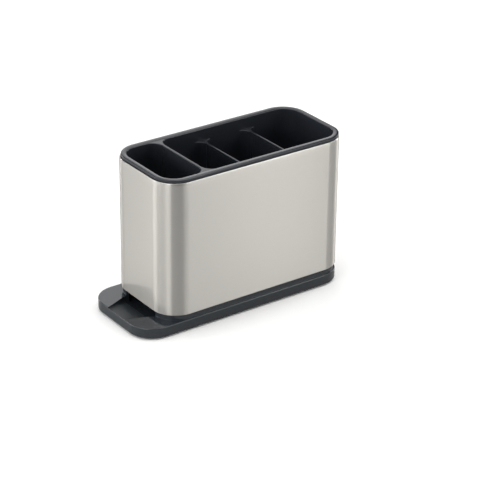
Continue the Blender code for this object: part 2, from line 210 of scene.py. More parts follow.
class TraySizes(bpy.types.PropertyGroup):
    """Sizes of the drip tray."""
    plate: size("Plate", "Height of the plate above its underside", 0.0105)
    base_round: size("Base round", "Radius of the lower edge", 0.0010)
    top_round: size("Top round", "Radius of the plate's edge", 0.0008)
    wall: size("Wall", "Thickness of the moulding", 0.0024)
    seat_inset: size("Seat inset", "From the sleeve's face in to the upstand", 0.0016)
    seat_fillet: size("Seat fillet", "Hollow radius at the foot of the upstand", 0.0002)
    seat_round: size("Seat round", "Radius of the upstand's outer edge", 0.0003)
    seat_gap: size("Seat gap", "Gap between the hem and the seat", 0.0003)
    lip: size("Lip", "Thickness of the lip inside the hem", 0.0015)
    lip_round: size("Lip round", "Radius along the top of the lip", 0.0006)
    basin_floor: size("Basin floor", "Thickness of the basin's floor", 0.0024)
    basin_round: size("Basin round", "Radius round the basin's floor", 0.0022)
    spout_dip: size("Spout dip", "How far the channel starts below the plate", 0.0011)
    spout_lip: size("Spout lip", "Half the channel's width at the tray's edge", 0.0146)
    spout_mouth: size("Spout mouth", "Half the channel's width at the upstand", 0.0255)
    spout_round: size("Spout round", "Radius where the channel rolls off the tray's edge", 0.0003)
    spout_crest: size("Spout crest", "Thickness of the lip that the channel starts behind", 0.0005)
    spout_step: size("Spout step", "How far the channel's floor drops behind that lip", 0.0011)
    spout_run: size("Spout run", "Length of the gentle first part of the channel's floor", 0.0150)
    spout_fall: size("Spout fall", "How far the floor falls over that part", 0.0020)
    spout_power: FloatProperty(name="Spout flare", description="How late the channel flares", default=1.1)
    channel_edge: size("Channel edge", "Radius of the channel's upper edges", 0.0004)
    channel_fillet: size("Channel fillet", "Radius where the channel's sides meet its floor", 0.0016)


class FootSizes(bpy.types.PropertyGroup):
    """Sizes of the rubber feet."""
    radius: size("Radius", "Radius of a foot", (FOOT_HIGH.x - FOOT_LOW.x) / 2)
    height: size("Height", "Height of a foot", FOOT_HIGH.z - FOOT_LOW.z)
    edge: size("Edge", "Radius of a foot's lower edge", 0.0005)
    recess: size("Recess", "Depth of the recess that holds a foot", 0.0008)
    clearance: size("Clearance", "Gap round a foot in its recess", 0.0003)


class Finishes(bpy.types.PropertyGroup):
    """Colours of the surfaces."""
    steel: colour("Steel", "Brushed stainless steel", 0xBEBBB5)
    tray: colour("Tray", "Glossy moulded plastic", 0x2D3237)
    caddy: colour("Caddy", "Satin moulded plastic", 0x292C32)
    rubber: colour("Rubber", "Moulded rubber", 0x242526)
    ground: colour("Ground", "Matte background paper", 0xF2F2F1)


class StudioSettings(bpy.types.PropertyGroup):
    """Camera and light."""
    lens: FloatProperty(name="Lens", description="Focal length on a 36 mm sensor", default=146.2)
    yaw: FloatProperty(name="Yaw", description="Camera heading from +Y towards +X", subtype="ANGLE",
                       default=math.radians(35.759))
    pitch: FloatProperty(name="Pitch", description="How far the camera looks down", subtype="ANGLE",
                         default=math.radians(26.264))
    roll: FloatProperty(name="Roll", description="Turn of the camera about its axis", subtype="ANGLE",
                        default=math.radians(0.643))
    place: FloatVectorProperty(name="Place", description="Where the camera stands", subtype="TRANSLATION",
                               default=(-0.98439, -1.40369, 0.90283))
    half_pixel: FloatProperty(name="Half a pixel", description="Shift that puts pixel centres where the "
                              "photograph has them, as a share of the frame", default=0.5 / 480)
    ground: size("Ground", "Half the width of the background paper", 0.84)
    ambient: FloatProperty(name="Ambient", description="Brightness of the room between the lamps",
                           default=0.0)


class Drainer(bpy.types.PropertyGroup):
    """All that a user may change."""
    sleeve: PointerProperty(name="Sleeve", description="Sizes of the sleeve", type=SleeveSizes)
    caddy: PointerProperty(name="Caddy", description="Sizes of the caddy", type=CaddySizes)
    tray: PointerProperty(name="Tray", description="Sizes of the tray", type=TraySizes)
    foot: PointerProperty(name="Feet", description="Sizes of the feet", type=FootSizes)
    finish: PointerProperty(name="Finishes", description="Colours of the surfaces", type=Finishes)
    studio: PointerProperty(name="Studio", description="Camera and light", type=StudioSettings)


def add_node(tree, kind, settings=None, inputs=None):
    """Add a node, set its properties, and set or link its inputs."""
    node = tree.nodes.new(kind)
    for name, value in (settings or {}).items():
        setattr(node, name, value)
    for name, value in (inputs or {}).items():
        socket = node.inputs[name]
        if isinstance(value, bpy.types.NodeSocket):
            tree.links.new(value, socket)
        else:
            socket.default_value = value
    return node


def start_material(name, base, roughness, values):
    """A material with one Principled shader, whose uniform values are set on its sockets."""
    material = bpy.data.materials.new(name)
    material.use_nodes = True
    shader = material.node_tree.nodes["Principled BSDF"]
    shader.inputs["Base Color"].default_value = base
    shader.inputs["Roughness"].default_value = roughness
    for socket, value in values.items():
        shader.inputs[socket].default_value = value
    return material, material.node_tree, shader


def pattern(tree, cells, detail):
    """Noise on Object coordinates, with its cell size in metres along each axis."""
    place = add_node(tree, "ShaderNodeTexCoord")
    scale = [1 / cell for cell in cells]
    mapping = add_node(tree, "ShaderNodeMapping", inputs={"Vector": place.outputs["Object"], "Scale": scale})
    return add_node(tree, "ShaderNodeTexNoise", inputs={"Vector": mapping.outputs["Vector"], "Scale": 1.0,
                                                       "Detail": detail, "Roughness": 0.5})


def vary(tree, noise, low, high):
    """A value that noise moves between two others."""
    spread = add_node(tree, "ShaderNodeMapRange", inputs={
        "Value": noise.outputs["Fac"], "From Min": NOISE_LOW, "From Max": NOISE_HIGH,
        "To Min": low, "To Max": high})
    return spread.outputs["Result"]


def tint(tree, noise, base, share, shader):
    """Let noise darken and lighten the base colour by a small share."""
    ramp = add_node(tree, "ShaderNodeValToRGB", inputs={"Fac": noise.outputs["Fac"]})
    ramp.color_ramp.elements[0].position = NOISE_LOW
    ramp.color_ramp.elements[1].position = NOISE_HIGH
    ramp.color_ramp.elements[0].color = [channel * (1 - share) for channel in base[:3]] + [1.0]
    ramp.color_ramp.elements[1].color = [min(1.0, channel * (1 + share)) for channel in base[:3]] + [1.0]
    tree.links.new(ramp.outputs["Color"], shader.inputs["Base Color"])


def relief(tree, noise, depth, shader):
    """Let noise raise and lower the surface by a depth in metres."""
    bump = add_node(tree, "ShaderNodeBump", inputs={"Height": noise.outputs["Fac"], "Distance": depth,
                                                    "Strength": 1.0})
    tree.links.new(bump.outputs["Normal"], shader.inputs["Normal"])


def brushed_steel(base):
    """Stainless steel brushed with a fine belt, whose grain runs round the sleeve.

    The grain spreads reflections upright and keeps them narrow sideways, so that what stands round the
    drainer shows as upright bands on its corners. The lands between the lines stay closer to a mirror and
    show the tray: they are drawn as a coat, whose high IOR stands for their share. Real grain is about
    0.1 mm wide, too fine to show here, so it is drawn 0.9 mm wide and faint.
    """
    material, tree, shader = start_material("brushed_stainless_steel", base, 0.44, {
        "Metallic": 1.0, "Anisotropic": 1.0, "Coat Weight": 1.0, "Coat Roughness": 0.14, "Coat IOR": 3.3})
    upright = add_node(tree, "ShaderNodeCombineXYZ", inputs={"X": 0.0, "Y": 0.0, "Z": 1.0})
    tree.links.new(upright.outputs["Vector"], shader.inputs["Tangent"])
    grain = pattern(tree, (0.090, 0.090, 0.0009), 3.0)
    tree.links.new(vary(tree, grain, 0.42, 0.46), shader.inputs["Roughness"])
    tint(tree, grain, base, 0.010, shader)
    return material


def inside_box(tree, low, high, edge):
    """1 inside an upright box and 0 outside it, fading over an edge just inside its faces."""
    place = add_node(tree, "ShaderNodeTexCoord")
    offset = add_node(tree, "ShaderNodeVectorMath", {"operation": "SUBTRACT"},
                      {0: place.outputs["Object"], 1: (low + high) / 2})
    distance = add_node(tree, "ShaderNodeVectorMath", {"operation": "ABSOLUTE"},
                        {0: offset.outputs["Vector"]})
    beyond = add_node(tree, "ShaderNodeVectorMath", {"operation": "SUBTRACT"},
                      {0: distance.outputs["Vector"], 1: (high - low) / 2})
    axes = add_node(tree, "ShaderNodeSeparateXYZ", inputs={"Vector": beyond.outputs["Vector"]})
    level = add_node(tree, "ShaderNodeMath", {"operation": "MAXIMUM"},
                     {0: axes.outputs["X"], 1: axes.outputs["Y"]})
    farthest = add_node(tree, "ShaderNodeMath", {"operation": "MAXIMUM"},
                        {0: level.outputs["Value"], 1: axes.outputs["Z"]})
    fade = add_node(tree, "ShaderNodeMapRange", inputs={
        "Value": farthest.outputs["Value"], "From Min": -edge, "From Max": 0.0, "To Min": 1.0, "To Max": 0.0})
    return fade.outputs["Result"]


def glossy_plastic(base, tray):
    """Dark ABS from a polished mould: glossy, with a faint ripple from shrinkage.

    The channel is dull beside the plate, as where a mould's insert is left unpolished, so that it mirrors
    the sleeve above it only as a soft shade.
    """
    material, tree, shader = start_material("glossy_moulded_plastic", base, 0.14, {"IOR": 1.56})
    ripple = pattern(tree, (0.012, 0.012, 0.012), 1.0)
    low = Vector((TRAY_LOW.x + tray.spout_round, -tray.spout_mouth, TRAY_LOW.z + tray.basin_floor))
    high = Vector((SLEEVE_LOW.x, tray.spout_mouth, TRAY_LOW.z + tray.plate - tray.channel_edge))
    channel = inside_box(tree, low, high, tray.channel_edge)
    finish = add_node(tree, "ShaderNodeMix", inputs={
        "Factor": channel, "A": vary(tree, ripple, 0.12, 0.16), "B": CHANNEL_ROUGHNESS})
    tree.links.new(finish.outputs["Result"], shader.inputs["Roughness"])
    relief(tree, ripple, 0.000012, shader)
    return material


def satin_plastic(base):
    """Dark polypropylene from a finely sparked mould: satin, with a soft glow along its edges.

    The mould's grain is about 0.1 mm wide, too fine to show here, so it is drawn 0.6 mm wide.
    """
    material, tree, shader = start_material("satin_moulded_plastic", base, 0.24, {"IOR": 1.49})
    spark = pattern(tree, (0.0006, 0.0006, 0.0006), 1.0)
    tree.links.new(vary(tree, spark, 0.21, 0.27), shader.inputs["Roughness"])
    relief(tree, spark, 0.000005, shader)
    return material


def moulded_rubber(base):
    """Black thermoplastic rubber: matte, with a slight mottle from the mould."""
    material, tree, shader = start_material("moulded_rubber", base, 0.75, {"IOR": 1.5})
    mottle = pattern(tree, (0.0010, 0.0010, 0.0010), 2.0)
    tree.links.new(vary(tree, mottle, 0.68, 0.82), shader.inputs["Roughness"])
    relief(tree, mottle, 0.000020, shader)
    return material


def background_paper(base):
    """Matte white background paper, with the faint cloudiness of its fibres.

    The camera sees it painted brighter than its lamps make it, which washes shade on it out to white: painted
    light.
    What the drainer mirrors of it is painted a warm grey, a painted shade that stands for a darker room round
    a small sheet.
    """
    material, tree, shader = start_material("background_paper", base, 0.9, {"Specular IOR Level": 0.1})
    cloud = pattern(tree, (0.030, 0.030, 0.030), 2.0)
    tint(tree, cloud, base, 0.003, shader)
    fibres = shader.inputs["Base Color"].links[0].from_socket
    # Painted light and shade: the camera sees the paper's colour raised, and reflections see it darkened to a
    # warm grey.
    path = add_node(tree, "ShaderNodeLightPath")
    share = add_node(tree, "ShaderNodeMix", {"data_type": "VECTOR"}, {
        "Factor": path.outputs["Is Camera Ray"], MIX_VECTOR_A: PAPER_MIRRORED_PAINTED_SHADE, MIX_VECTOR_B: PAPER_SEEN_PAINTED_LIGHT})
    shown = add_node(tree, "ShaderNodeVectorMath", {"operation": "MULTIPLY"},
                     {0: fibres, 1: share.outputs[MIX_VECTOR_RESULT]})
    tree.links.new(shown.outputs["Vector"], shader.inputs["Base Color"])
    return material


class Section:
    """A cross-section drawn point by point: how far in from an outline, and how high."""

    def __init__(self, across, up):
        self.points = [(across, up)]

    def line(self, across, up):
        """Go straight to a point."""
        self.points.append((across, up))

    def turn(self, across, up, leaves_level):
        """Go to a point by a quarter round that leaves level or upright, and arrives the other way."""
        start_across, start_up = self.points[-1]
        for step in range(1, ROUND_STEPS + 1):
            angle = QUARTER * step / ROUND_STEPS
            slow, fast = 1 - math.cos(angle), math.sin(angle)
            share_across, share_up = (fast, slow) if leaves_level else (slow, fast)
            self.points.append((start_across + (across - start_across) * share_across,
                                start_up + (up - start_up) * share_up))


def arc(centre_x, centre_y, radius, start, end, steps):
    """Plan points of an arc between two angles."""
    points = []
    for step in range(steps + 1):
        angle = start + (end - start) * step / steps
        points.append((centre_x + radius * math.cos(angle), centre_y + radius * math.sin(angle)))
    return points


def ring(centre_x, half_length, half_width, radius, height):
    """One level outline: a rounded rectangle about a point on the X axis."""
    points = []
    for corner, (side_x, side_y) in enumerate(((1, 1), (-1, 1), (-1, -1), (1, -1))):
        middle_x = centre_x + side_x * (half_length - radius)
        middle_y = side_y * (half_width - radius)
        points += arc(middle_x, middle_y, radius, QUARTER * corner, QUARTER * (corner + 1), CORNER_STEPS)
    return [(x, y, height) for x, y in points]


def sleeve_ring(sleeve, end_inset, side_inset, height, shift=0.0):
    """The sleeve's outline at one height, drawn in by an inset at its ends and another at its sides."""
    centre_x = (SLEEVE_LOW.x + SLEEVE_HIGH.x) / 2 + shift
    return ring(centre_x, sleeve.length / 2 - end_inset, sleeve.width / 2 - side_inset,
                sleeve.corner - side_inset, height)


def new_object(name, work):
    """An object from a bmesh, which is used up."""
    mesh = bpy.data.meshes.new(name)
    work.to_mesh(mesh)
    work.free()
    made = bpy.data.objects.new(name, mesh)
    bpy.context.scene.collection.objects.link(made)
    return made


def skin(name, rings):
    """A closed solid whose surface runs through the rings in turn, with its ends filled."""
    work = bmesh.new()
    loops = [[work.verts.new(point) for point in points] for points in rings]
    count = len(loops[0])
    for lower, upper in zip(loops, loops[1:]):
        for index in range(count):
            after = (index + 1) % count
            work.faces.new((lower[index], lower[after], upper[after], upper[index]))
    work.faces.new(list(reversed(loops[0])))
    work.faces.new(loops[-1])
    bmesh.ops.remove_doubles(work, verts=work.verts, dist=WELD_DISTANCE)
    bmesh.ops.recalc_face_normals(work, faces=work.faces)
    return new_object(name, work)


def take_mesh(target):
    """Replace an object's modifiers by the mesh that they give, welded and facing outwards."""
    bpy.context.view_layer.update()
    evaluated = target.evaluated_get(bpy.context.evaluated_depsgraph_get())
    result = bpy.data.meshes.new_from_object(evaluated)
    target.modifiers.clear()
    target.data = result
    work = bmesh.new()
    work.from_mesh(result)
    bmesh.ops.remove_doubles(work, verts=work.verts, dist=WELD_DISTANCE)
    bmesh.ops.dissolve_degenerate(work, edges=work.edges, dist=WELD_DISTANCE)
    bmesh.ops.recalc_face_normals(work, faces=work.faces)
    work.to_mesh(result)
    work.free()


def combine(target, tool, operation):
    """Join or cut the target with a tool, which is used up."""
    modifier = target.modifiers.new("combine", "BOOLEAN")
    modifier.operation = operation
    modifier.solver = "EXACT"
    modifier.object = tool
    take_mesh(target)
    bpy.data.objects.remove(tool, do_unlink=True)


def finish_piece(piece, name, material, body, nodes):
    """Name, shade and colour a piece, and let it stand for its nodes of the frame."""
    piece.name = name
    piece.data.name = name
    piece.data.materials.clear()
    piece.data.materials.append(material)
    piece.data.shade_smooth()
    piece.data.set_sharp_from_angle(angle=SMOOTH_ANGLE)
    weighted = piece.modifiers.new("weighted_normals", "WEIGHTED_NORMAL")
    weighted.keep_sharp = True
    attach(piece, body)
    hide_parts(*nodes)


def start_tree(name, inputs):
    """A geometry node tree with named inputs, given as name to kind of socket."""
    tree = bpy.data.node_groups.new(name, "GeometryNodeTree")
    tree.interface.new_socket("Geometry", in_out="INPUT", socket_type="NodeSocketGeometry")
    for label, kind in inputs.items():
        tree.interface.new_socket(label, in_out="INPUT", socket_type=kind)
    tree.interface.new_socket("Geometry", in_out="OUTPUT", socket_type="NodeSocketGeometry")
    given = add_node(tree, "NodeGroupInput")
    return tree, given


def end_tree(tree, geometry, material):
    """Realize what a tree made, give it its material and put it out."""
    real = add_node(tree, "GeometryNodeRealizeInstances", inputs={"Geometry": geometry})
    painted = add_node(tree, "GeometryNodeSetMaterial",
                       inputs={"Geometry": real.outputs["Geometry"], "Material": material})
    add_node(tree, "NodeGroupOutput", inputs={"Geometry": painted.outputs["Geometry"]})


def run_tree(target, tree, values):
    """Run a tree on an object with inputs set by their sockets' identifiers, and keep the mesh."""
    modifier = target.modifiers.new(tree.name, "NODES")
    modifier.node_group = tree
    for item in tree.interface.items_tree:
        if item.in_out == "INPUT" and item.name in values:
            modifier[item.identifier] = values[item.name]
    take_mesh(target)


def sweep_tree():
    """Tree that sweeps the object's own outline round a rounded rectangle."""
    tree, given = start_tree("sweep_round_rectangle", {
        "Length": "NodeSocketFloat", "Width": "NodeSocketFloat", "Corner radius": "NodeSocketFloat",
        "Corner steps": "NodeSocketInt", "Centre": "NodeSocketVector", "Material": "NodeSocketMaterial"})
    outline = add_node(tree, "GeometryNodeCurvePrimitiveQuadrilateral", {"mode": "RECTANGLE"},
                       {"Width": given.outputs["Length"], "Height": given.outputs["Width"]})
    rounded = add_node(tree, "GeometryNodeFilletCurve", {"mode": "POLY"},
                       {"Curve": outline.outputs["Curve"], "Radius": given.outputs["Corner radius"],
                        "Count": given.outputs["Corner steps"]})
    level = add_node(tree, "GeometryNodeSetCurveNormal", {"mode": "Z_UP"},
                     {"Curve": rounded.outputs["Curve"]})
    section = add_node(tree, "GeometryNodeMeshToCurve", inputs={"Mesh": given.outputs["Geometry"]})
    swept = add_node(tree, "GeometryNodeCurveToMesh", inputs={"Curve": level.outputs["Curve"],
                                                              "Profile Curve": section.outputs["Curve"]})
    placed = add_node(tree, "GeometryNodeTransform", inputs={"Geometry": swept.outputs["Mesh"],
                                                             "Translation": given.outputs["Centre"]})
    end_tree(tree, placed.outputs["Geometry"], given.outputs["Material"])
    return tree


def grid_tree():
    """Tree that repeats the object's own mesh over a level grid of columns and rows."""
    tree, given = start_tree("repeat_over_grid", {
        "Columns": "NodeSocketInt", "Rows": "NodeSocketInt", "Length": "NodeSocketFloat",
        "Width": "NodeSocketFloat", "Centre": "NodeSocketVector", "Material": "NodeSocketMaterial"})
    grid = add_node(tree, "GeometryNodeMeshGrid",
                    inputs={"Size X": given.outputs["Length"], "Size Y": given.outputs["Width"],
                            "Vertices X": given.outputs["Columns"], "Vertices Y": given.outputs["Rows"]})
    copies = add_node(tree, "GeometryNodeInstanceOnPoints", inputs={"Points": grid.outputs["Mesh"],
                                                                    "Instance": given.outputs["Geometry"]})
    placed = add_node(tree, "GeometryNodeTransform", inputs={"Geometry": copies.outputs["Instances"],
                                                             "Translation": given.outputs["Centre"]})
    end_tree(tree, placed.outputs["Geometry"], given.outputs["Material"])
    return tree


def sheet_section(sleeve):
    """Cross-section of the sleeve's sheet: in from its outer face, and up from its hem."""
    inner_roll = sleeve.roll - sleeve.sheet
    inner_bend = sleeve.hem_bend - sleeve.sheet
    shoulder = sleeve.height - sleeve.roll
    section = Section(sleeve.hem_bend, 0.0)
    section.turn(0.0, sleeve.hem_bend, True)
    crest = sleeve.lean + sleeve.roll
    inside = crest + sleeve.roll
    for step in range(ROUND_STEPS + 1):
        share = step / ROUND_STEPS
        section.line(sleeve.lean * share ** 2, shoulder - sleeve.lean_height * (1 - share))
    section.turn(crest, sleeve.height, False)
    section.turn(inside, shoulder, True)
    section.line(inside, shoulder - sleeve.roll_tail)
    section.line(inside - sleeve.sheet, shoulder - sleeve.roll_tail)
    section.line(inside - sleeve.sheet, shoulder)
    section.turn(crest, shoulder + inner_roll, False)
    section.turn(sleeve.lean + sleeve.sheet, shoulder, True)
    section.line(sleeve.sheet, shoulder - sleeve.lean_height)
    section.line(sleeve.sheet, sleeve.hem_bend)
    section.turn(sleeve.hem_bend, sleeve.hem_bend - inner_bend, False)
    section.line(sleeve.hem, sleeve.sheet)
    section.line(sleeve.hem, 0.0)
    return section.points


def make_sleeve(sleeve, material):
    """The sheet's cross-section, drawn as a loop of edges and swept round the sleeve's outline."""
    work = bmesh.new()
    loop = [work.verts.new((-across, -up, 0.0)) for across, up in sheet_section(sleeve)]
    for start, end in zip(loop, loop[1:] + loop[:1]):
        work.edges.new((start, end))
    piece = new_object("sleeve", work)
    centre = ((SLEEVE_LOW.x + SLEEVE_HIGH.x) / 2, 0.0, SLEEVE_LOW.z)
    run_tree(piece, sweep_tree(), {"Length": sleeve.length, "Width": sleeve.width, "Material": material,
                                   "Corner radius": sleeve.corner, "Corner steps": CORNER_STEPS,
                                   "Centre": centre})
    return piece


def bay_spans(caddy, sleeve):
    """The ends of each bay along X, from the spout end: the side bay, then the main bays."""
    start = SLEEVE_LOW.x + caddy.shift + caddy.rim_inset + caddy.rim_end
    end = start + sleeve.length - 2 * (caddy.rim_inset + caddy.rim_end)
    spans = [(start, start + caddy.side_bay)]
    start = spans[0][1] + caddy.partition
    bay = (end - start - caddy.divider * (caddy.main_bays - 1)) / caddy.main_bays
    for _ in range(caddy.main_bays):
        spans.append((start, start + bay))
        start += bay + caddy.divider
    return spans


def make_well(caddy, sleeve):
    """The caddy's outer walls, floor and rim as one surface, from its base up and down again inside."""
    rim = Vector((caddy.rim_inset, caddy.rim_inset))
    bay = rim + Vector((caddy.rim_end, caddy.rim_side))
    outside = bay - Vector((caddy.wall, caddy.wall))
    base_edge = outside + Vector((caddy.base_round, caddy.base_round))
    shoulder = rim + Vector((caddy.rim_edge, caddy.rim_edge))
    crest = bay - Vector((caddy.rim_round, caddy.rim_round))
    floor_edge = bay + Vector((caddy.floor_round, caddy.floor_round))
    low, top = CADDY_LOW.z, CADDY_HIGH.z
    ledge = SLEEVE_LOW.z + sleeve.height + caddy.rim_seat
    floor = low + caddy.floor
    section = Section(base_edge, low)
    section.turn(outside, low + caddy.base_round, True)
    section.line(outside, ledge)
    section.line(rim, ledge)
    section.line(rim, top - caddy.rim_fall - caddy.rim_edge)
    section.turn(shoulder, top - caddy.rim_fall, False)
    for step in range(1, RIM_STEPS + 1):
        share = step / RIM_STEPS
        side = share / RIM_CREST - 1 if share < RIM_CREST else (share - RIM_CREST) / (1 - RIM_CREST)
        fall = caddy.rim_fall if share < RIM_CREST else caddy.rim_dip
        section.line(shoulder.lerp(crest, share), top - fall * side ** 2)
    section.turn(bay, top - caddy.rim_dip - caddy.rim_round, True)
    section.line(bay, floor + caddy.floor_round)
    section.turn(floor_edge, floor, False)
    rings = [sleeve_ring(sleeve, *inset, height, caddy.shift) for inset, height in section.points]
    return skin("caddy", rings)


def make_wall(caddy, sleeve, low_x, high_x, flare, top):
    """A wall across the bays that flares into the side walls, with a rounded top and a filleted foot."""
    side = sleeve.width / 2 - caddy.rim_inset - caddy.rim_side
    reach = side + EMBED
    middle_y = side - flare + NUDGE
    floor = CADDY_LOW.z + caddy.floor
    section = Section(caddy.floor_round, floor - EMBED)
    section.line(caddy.floor_round, floor - NUDGE)
    section.turn(0.0, floor + caddy.floor_round, True)
    section.line(0.0, top - caddy.edge_round)
    section.turn(-caddy.edge_round, top, False)
    rings = []
    for grow, height in section.points:
        radius = flare - grow
        right, left = high_x + flare, low_x - flare
        outline = [(right, -reach)]
        outline += arc(right, -middle_y, radius, QUARTER * 3, QUARTER * 2, FLARE_STEPS)
        outline += arc(right, middle_y, radius, QUARTER * 2, QUARTER, FLARE_STEPS)
        outline += [(right, reach), (left, reach)]
        outline += arc(left, middle_y, radius, QUARTER, 0.0, FLARE_STEPS)
        outline += arc(left, -middle_y, radius, 0.0, -QUARTER, FLARE_STEPS)
        outline.append((left, -reach))
        rings.append([(x, y, height) for x, y in outline])
    return skin("wall", rings)


def disc(name, radius, low, high, sides):
    """An upright cylinder round the origin."""
    rings = [[(x, y, height) for x, y in arc(0.0, 0.0, radius, 0.0, FULL_TURN, sides)[:-1]]
             for height in (low, high)]
    return skin(name, rings)


def cut_drain_holes(piece, caddy, sleeve, material, spans):
    """Cut a centred grid of holes through the floor of each bay."""
    tree = grid_tree()
    width = sleeve.width - 2 * (caddy.rim_inset + caddy.rim_side + caddy.margin)
    rows = int(width / caddy.pitch) + 1
    low, high = CADDY_LOW.z - OVERRUN, CADDY_LOW.z + caddy.floor + OVERRUN
    for low_x, high_x in spans:
        columns = int((high_x - low_x - 2 * caddy.margin) / caddy.pitch) + 1
        cutter = disc("holes", caddy.hole, low, high, HOLE_SIDES)
        run_tree(cutter, tree, {"Columns": columns, "Rows": rows, "Length": (columns - 1) * caddy.pitch,
                                "Width": (rows - 1) * caddy.pitch, "Material": material,
                                "Centre": ((low_x + high_x) / 2, 0.0, 0.0)})
        combine(piece, cutter, "DIFFERENCE")


def make_caddy(caddy, sleeve, material):
    """The well, the walls across it and the drain holes, as one moulding."""
    piece = make_well(caddy, sleeve)
    spans = bay_spans(caddy, sleeve)
    for index, (before, after) in enumerate(zip(spans, spans[1:])):
        flare = caddy.divider_flare if index else caddy.partition_flare
        drop = caddy.divider_drop if index else caddy.partition_drop
        wall = make_wall(caddy, sleeve, before[1], after[0], flare, CADDY_HIGH.z - drop)
        combine(piece, wall, "UNION")
    cut_drain_holes(piece, caddy, sleeve, material, spans)
    return piece


def tray_body(tray, sleeve):
    """The plate, the upstand, the lip and the basin as one surface, from the underside up and in."""
    low, plate = TRAY_LOW.z, TRAY_LOW.z + tray.plate
    seat = SLEEVE_LOW.z - tray.seat_gap
    lip_inset = sleeve.hem + tray.seat_gap
    basin_inset = lip_inset + tray.lip
    floor = low + tray.basin_floor
    edge = Section(tray.base_round, low)
    edge.turn(0.0, low + tray.base_round, True)
    edge.line(0.0, plate - tray.top_round)
    edge.turn(tray.top_round, plate, False)
    half_length = (TRAY_HIGH.x - TRAY_LOW.x) / 2
    rings = [ring((TRAY_LOW.x + TRAY_HIGH.x) / 2, half_length - inset, sleeve.width / 2 - inset,
                  sleeve.corner - inset, height) for inset, height in edge.points]
    upstand = Section(tray.seat_inset - tray.seat_fillet, plate)
    upstand.turn(tray.seat_inset, plate + tray.seat_fillet, True)
    upstand.line(tray.seat_inset, seat - tray.seat_round)
    upstand.turn(tray.seat_inset + tray.seat_round, seat, False)
    upstand.line(lip_inset, seat)
    upstand.line(lip_inset, TRAY_HIGH.z - tray.lip_round)
    upstand.turn(lip_inset + tray.lip_round, TRAY_HIGH.z, False)
    upstand.line(basin_inset - tray.lip_round, TRAY_HIGH.z)
    upstand.turn(basin_inset, TRAY_HIGH.z - tray.lip_round, True)
    upstand.line(basin_inset, floor + tray.basin_round)
    upstand.turn(basin_inset + tray.basin_round, floor, False)
    rings += [sleeve_ring(sleeve, inset, inset, height) for inset, height in upstand.points]
    return skin("tray", rings)


def channel_floor(tray, sleeve, x):
    """Height of the channel's floor, which drops behind the lip and runs down to the basin."""
    start = TRAY_LOW.z + tray.plate - tray.spout_dip
    end = TRAY_LOW.z + tray.basin_floor
    lip_end = TRAY_LOW.x + tray.spout_crest
    if x <= lip_end:
        return start
    dropped = start - tray.spout_step * min(1.0, (x - lip_end) / tray.spout_crest)
    run_end = lip_end + tray.spout_run
    if x <= run_end:
        return dropped - tray.spout_fall * (x - lip_end) / tray.spout_run
    reach = SLEEVE_LOW.x + sleeve.hem + tray.seat_gap + tray.lip
    run_low = dropped - tray.spout_fall
    return run_low + (end - run_low) * (x - run_end) / (reach - run_end)


def channel_half_width(tray, x):
    """Half the channel's width, which flares from the tray's edge to the upstand."""
    share = max(0.0, min(1.0, (x - TRAY_LOW.x) / (SLEEVE_LOW.x - TRAY_LOW.x)))
    return tray.spout_lip + (tray.spout_mouth - tray.spout_lip) * share ** tray.spout_power


def channel_ring(tray, x, opening, floor, half_width):
    """The channel's cross-section at one place: floor, fillets, sides and rounded upper edges."""
    plate = TRAY_LOW.z + tray.plate
    side = half_width + opening
    bottom = floor - opening
    fillet = tray.channel_fillet
    section = Section(side - fillet, bottom)
    section.turn(side, bottom + fillet, True)
    section.line(side, max(plate - tray.channel_edge, bottom + fillet + NUDGE))
    section.turn(side + tray.channel_edge, plate + NUDGE, False)
    section.line(side + tray.channel_edge, TRAY_HIGH.z + OVERRUN)
    right = [(x, y, z) for y, z in section.points]
    left = [(x, -y, z) for y, z in reversed(section.points)]
    return right + left


def make_channel(tray, sleeve):
    """Cutter for the channel: it rolls off at the tray's edge, drops behind a lip and runs into the basin."""
    reach = SLEEVE_LOW.x + sleeve.hem + tray.seat_gap + tray.lip
    rings = []
    start = channel_floor(tray, sleeve, TRAY_LOW.x)
    rings.append(channel_ring(tray, TRAY_LOW.x - OVERRUN, tray.spout_round, start, tray.spout_lip))
    for step in range(ROUND_STEPS + 1):
        angle = QUARTER * (1 - step / ROUND_STEPS)
        x = TRAY_LOW.x + tray.spout_round * (1 - math.sin(angle))
        opening = tray.spout_round * (1 - math.cos(angle))
        floor = channel_floor(tray, sleeve, x)
        rings.append(channel_ring(tray, x, opening, floor, channel_half_width(tray, x)))
    first = TRAY_LOW.x + 2 * tray.spout_crest
    places = [TRAY_LOW.x + tray.spout_crest]
    places += [first + (SLEEVE_LOW.x - first) * step / CHANNEL_STEPS for step in range(CHANNEL_STEPS + 1)]
    for x in places:
        floor = channel_floor(tray, sleeve, x)
        rings.append(channel_ring(tray, x, 0.0, floor, channel_half_width(tray, x)))
    for x in (reach, reach + OVERRUN):
        floor = channel_floor(tray, sleeve, min(x, reach)) + NUDGE
        rings.append(channel_ring(tray, x, 0.0, floor, tray.spout_mouth))
    return skin("channel", rings)


def make_corner_core(tray, sleeve, side):
    """The hollow under one corner of the plate beside the channel."""
    radius = sleeve.corner - tray.wall
    middle_x = TRAY_LOW.x + sleeve.corner
    middle_y = sleeve.width / 2 - sleeve.corner
    inner_y = tray.spout_mouth + tray.wall
    inner_x = SLEEVE_LOW.x + sleeve.hem + tray.seat_gap + tray.lip - tray.wall
    last = math.pi - math.asin((inner_y - middle_y) / radius)
    outline = [(inner_x, inner_y), (inner_x, middle_y + radius)]
    outline += arc(middle_x, middle_y, radius, QUARTER, last, FLARE_STEPS)
    low, high = TRAY_LOW.z - OVERRUN, TRAY_LOW.z + tray.plate - tray.wall
    return skin("core", [[(x, side * y, height) for x, y in outline] for height in (low, high)])


